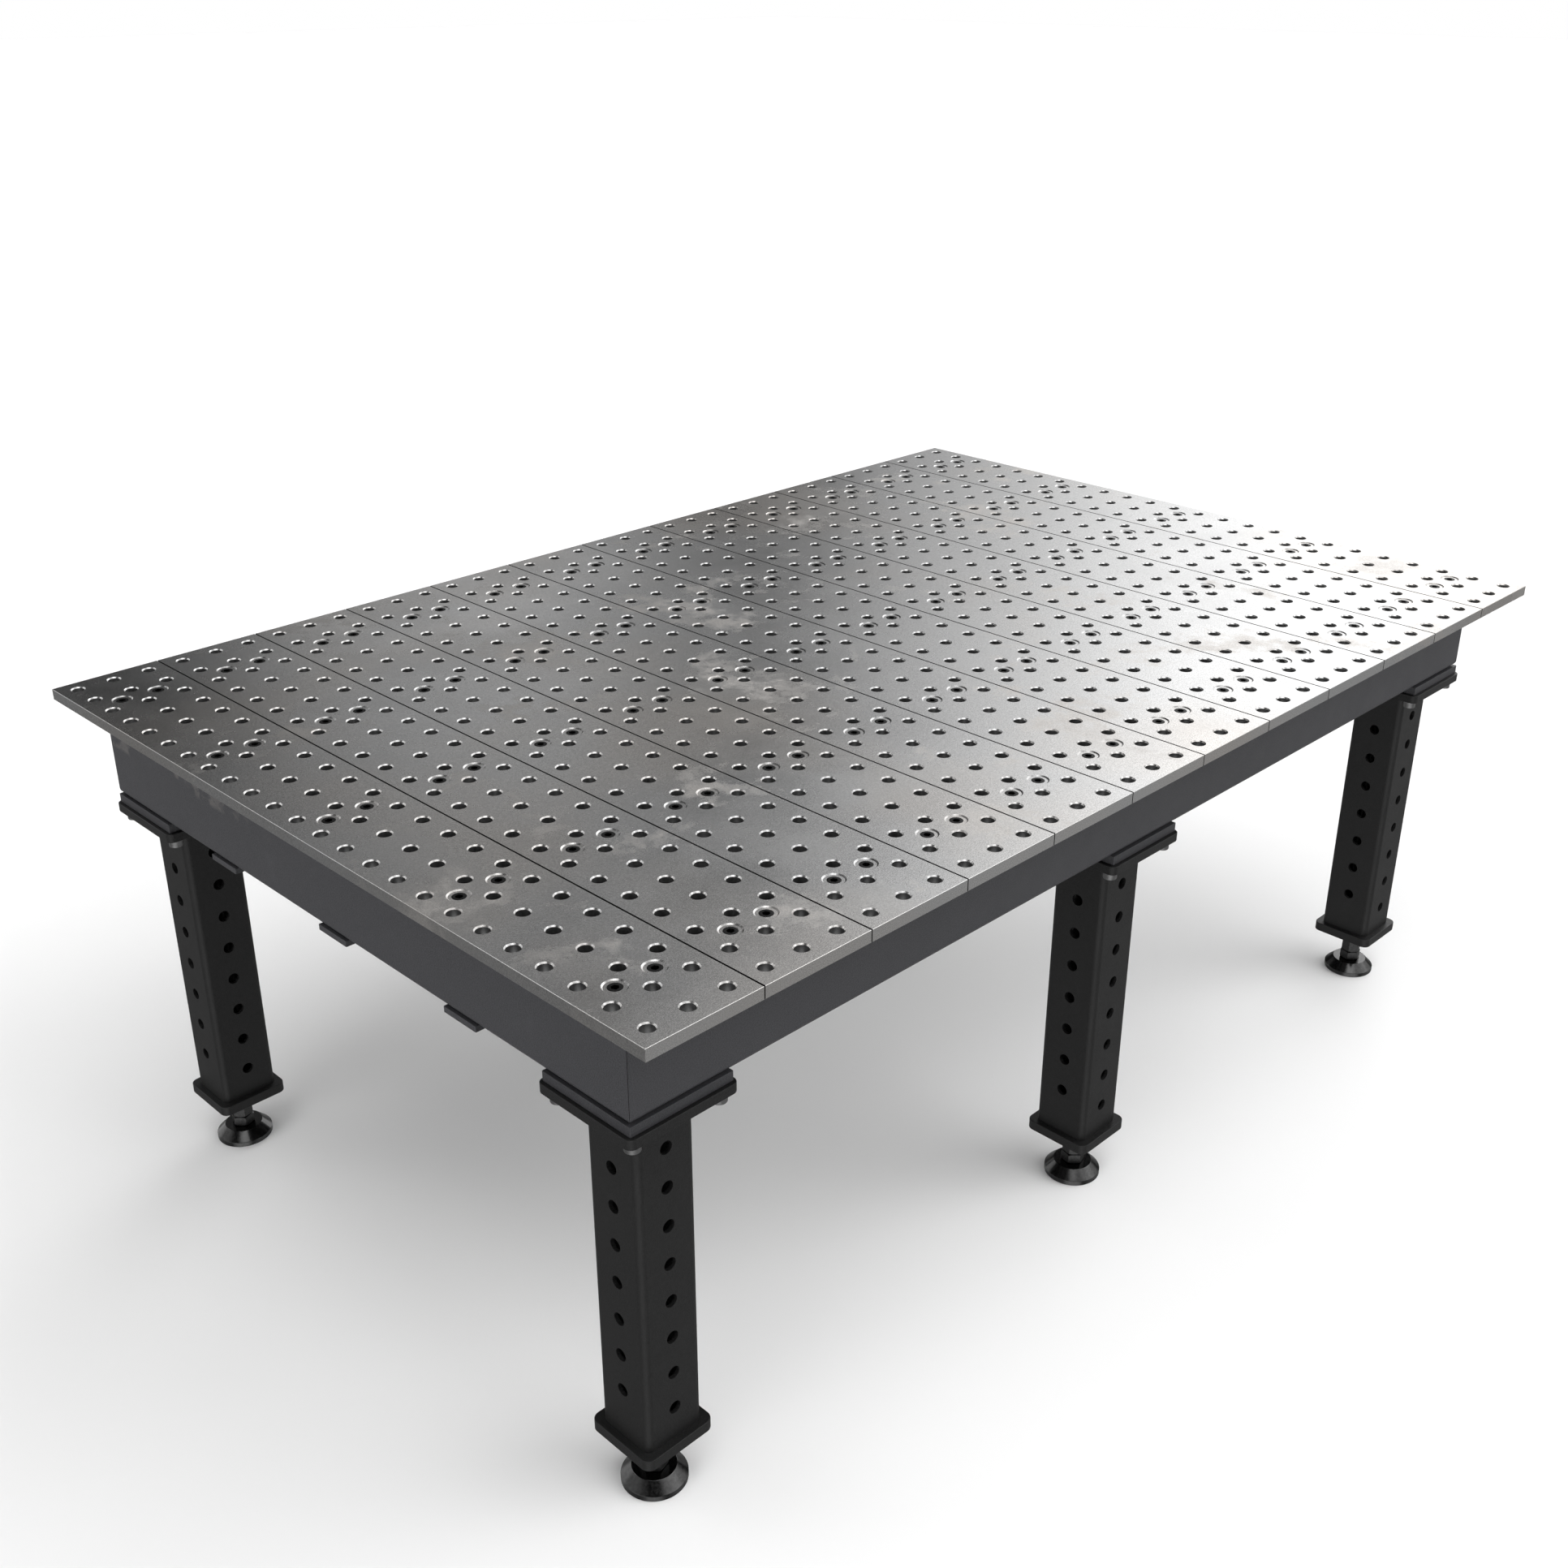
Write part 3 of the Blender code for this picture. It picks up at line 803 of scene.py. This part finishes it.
def plank_steel_material():
    """Ground steel with a fine speckle, dull blotches with flecked edges and faint brown zones."""
    material, tree, shader = new_material("plank_steel", Metallic=1.0)
    place = place_in(tree)
    clouds = noise(tree, place, scale=5.0, detail=8.0, roughness=0.62, distortion=0.3)
    stains = noise(tree, place, scale=6.0, detail=15.0, roughness=0.74, distortion=0.2)
    zones = noise(tree, place, scale=2.2, detail=3.0, roughness=0.5)
    specks = noise(tree, place, scale=700.0, detail=2.0, roughness=0.6)
    blotches = remap(tree, stains, 0.55, 0.63)
    browns = remap(tree, zones, 0.45, 0.65)
    grain = remap(tree, specks, 0.32, 0.68)
    plain = mix_color(tree, grain, gray(0.40), gray(0.57))
    brown = mix_color(tree, grain, gray(0.39, tint=0.045), gray(0.56, tint=0.045))
    dull = mix_color(tree, grain, gray(0.40, tint=0.035), gray(0.60, tint=0.035))
    color = mix_color(tree, blotches, mix_color(tree, browns, plain, brown), dull)
    tree.links.new(color, shader.inputs["Base Color"])
    polish = remap(tree, clouds, 0.35, 0.65, to_low=0.21, to_high=0.30)
    dullness = remap(tree, blotches, 0.0, 1.0, to_high=0.18)
    tree.links.new(add(tree, polish, dullness), shader.inputs["Roughness"])
    tree.links.new(bump(tree, grain, strength=0.15, distance=0.0002), shader.inputs["Normal"])
    return material


def coated_material(name, low, high, roughness, grain_size, relief, tint=0.0, wear_limits=()):
    """Textured paint: a fine orange peel with faint lighter rubs, and wear inside the limits."""
    material, tree, shader = new_material(name, Metallic=0.0, Specular_IOR_Level=0.4)
    place = place_in(tree)
    grain = noise(tree, place, scale=1 / grain_size, detail=3.0, roughness=0.6)
    rubs = noise(tree, place, scale=14.0, detail=6.0, roughness=0.7)
    color = mix_color(tree, remap(tree, grain, 0.3, 0.7), gray(low, tint), gray(high, tint))
    faint = remap(tree, rubs, 0.60, 0.80, to_high=0.35)
    color = mix_color(tree, faint, color, gray(high * RUBBED_TONE, tint))
    if wear_limits:
        along = add_node(tree, "ShaderNodeSeparateXYZ", {0: place}).outputs
        worn = remap(tree, rubs, 0.52, 0.57, to_high=0.4)
        for axis, start, full in wear_limits:
            worn = multiply(tree, worn, remap(tree, along[axis], start, full))
        color = mix_color(tree, worn, color, gray(high * WORN_TONE, WORN_TINT))
    tree.links.new(color, shader.inputs["Base Color"])
    uneven = remap(tree, rubs, 0.3, 0.7, to_low=roughness, to_high=roughness + 0.12)
    tree.links.new(uneven, shader.inputs["Roughness"])
    tree.links.new(bump(tree, grain, relief, distance=0.0006), shader.inputs["Normal"])
    return material


def metal_material(name, low, high, roughness):
    """Plain machined metal with a fine uneven finish."""
    material, tree, shader = new_material(name, Metallic=1.0)
    grain = noise(tree, place_in(tree), scale=300.0, detail=4.0, roughness=0.6)
    color = mix_color(tree, remap(tree, grain, 0.3, 0.7), gray(low), gray(high))
    tree.links.new(color, shader.inputs["Base Color"])
    uneven = remap(tree, grain, 0.3, 0.7, to_low=roughness, to_high=roughness + 0.1)
    tree.links.new(uneven, shader.inputs["Roughness"])
    tree.links.new(bump(tree, grain, strength=0.1, distance=0.0003), shader.inputs["Normal"])
    return material


# Studio

def build_floor():
    """A pale floor; seen from below it is clear, so that the table's underside shows."""
    half = FLOOR_SIZE / 2
    mesh = bpy.data.meshes.new("floor")
    corners = [(-half, -half, 0.0), (half, -half, 0.0), (half, half, 0.0), (-half, half, 0.0)]
    mesh.from_pydata(corners, [], [(0, 1, 2, 3)])
    floor = bpy.data.objects.new("floor", mesh)
    bpy.context.scene.collection.objects.link(floor)
    material, tree, shader = new_material(
        "floor_white", Base_Color=gray(0.83), Roughness=0.9, Specular_IOR_Level=0.0)
    behind = add_node(tree, "ShaderNodeNewGeometry").outputs["Backfacing"]
    clear = add_node(tree, "ShaderNodeBsdfTransparent")
    blend = add_node(tree, "ShaderNodeMixShader", {
        0: behind, 1: shader.outputs["BSDF"], 2: clear.outputs["BSDF"]})
    output = tree.nodes["Material Output"]
    tree.links.new(blend.outputs["Shader"], output.inputs["Surface"])
    mesh.materials.append(material)
    floor.visible_glossy = False


def direction(azimuth, elevation):
    """Unit vector from two angles in degrees; azimuth 0 is +X and 90 is +Y."""
    turn, rise = math.radians(azimuth), math.radians(elevation)
    return (math.cos(turn) * math.cos(rise), math.sin(turn) * math.cos(rise), math.sin(rise))


def build_world():
    """Surroundings of soft round lights on dark walls, with a white backdrop for the camera."""
    world = bpy.data.worlds.new("studio")
    bpy.context.scene.world = world
    world.use_nodes = True
    tree = world.node_tree
    tree.nodes.clear()
    toward = add_node(tree, "ShaderNodeTexCoord").outputs["Generated"]
    above = add_node(tree, "ShaderNodeSeparateXYZ", {0: toward}).outputs["Z"]
    total = remap(tree, above, *GLOW_BORDER, to_low=GROUND_GLOW, to_high=WALL_GLOW)
    for azimuth, elevation, inner, outer, strength in SOFT_LIGHTS:
        facing = add_node(tree, "ShaderNodeVectorMath", {
            0: toward, 1: direction(azimuth, elevation)}, operation="DOT_PRODUCT")
        lobe = add_node(tree, "ShaderNodeMapRange", {
            "Value": facing.outputs["Value"], "From Min": math.cos(math.radians(outer)),
            "From Max": math.cos(math.radians(inner)), "To Max": strength},
            interpolation_type="SMOOTHSTEP")
        total = add(tree, total, lobe.outputs["Result"])
    surroundings = add_node(tree, "ShaderNodeBackground", {"Color": gray(1.0), "Strength": total})
    backdrop = add_node(tree, "ShaderNodeBackground", {"Color": gray(1.0), "Strength": 1.0})
    seen = add_node(tree, "ShaderNodeLightPath").outputs["Is Camera Ray"]
    blend = add_node(tree, "ShaderNodeMixShader", {
        0: seen, 1: surroundings.outputs["Background"], 2: backdrop.outputs["Background"]})
    output = add_node(tree, "ShaderNodeOutputWorld")
    tree.links.new(blend.outputs["Shader"], output.inputs["Surface"])


def build_side_lamps():
    """Broad far lamps that light the surfaces but don't show in reflections."""
    for azimuth, elevation, strength in SIDE_LAMPS:
        data = bpy.data.lights.new("side_lamp", "SUN")
        data.energy = strength
        data.angle = SIDE_LAMP_ANGLE
        lamp = bpy.data.objects.new("side_lamp", data)
        toward = Vector(direction(azimuth, elevation))
        lamp.rotation_euler = toward.to_track_quat("Z", "Y").to_euler()
        lamp.visible_glossy = False
        bpy.context.scene.collection.objects.link(lamp)


def build_camera():
    data = bpy.data.cameras.new("camera")
    data.lens = CAMERA_LENS
    data.sensor_width = CAMERA_SENSOR
    camera = bpy.data.objects.new("camera", data)
    camera.location = CAMERA_PLACE
    camera.rotation_euler = CAMERA_TURN
    bpy.context.scene.collection.objects.link(camera)
    bpy.context.scene.camera = camera


plank_steel = plank_steel_material()
# darker cut steel for hole and recess walls, partly painted shade
cut_steel_and_shade = metal_material("cut_steel_and_shade", low=0.18, high=0.26, roughness=0.45)
# near-black painted shade for the seam faces between planks
seam_shade = metal_material("seam_shade", low=0.010, high=0.020, roughness=0.60)
black_screw = metal_material("black_screw", low=0.010, high=0.022, roughness=0.45)
frame_paint = coated_material("frame_paint", low=0.023, high=0.047, roughness=0.40,
                              grain_size=0.0016, relief=0.60, tint=-0.10,
                              wear_limits=WEAR_LIMITS)
pad_paint = coated_material("pad_paint", low=0.018, high=0.037, roughness=0.40,
                            grain_size=0.0016, relief=0.50, tint=-0.10)
leg_coating = coated_material("leg_coating", low=0.003, high=0.010, roughness=0.42,
                              grain_size=0.0014, relief=0.60)
bolt_zinc = metal_material("bolt_zinc", low=0.18, high=0.27, roughness=0.42)
dark_steel = metal_material("dark_steel", low=0.05, high=0.09, roughness=0.38)
turned_steel = metal_material("turned_steel", low=0.06, high=0.09, roughness=0.13)

build_camera()
build_top()
build_frame()
build_legs_and_feet()
build_floor()
build_world()
build_side_lamps()
bpy.context.scene.view_settings.view_transform = "Standard"
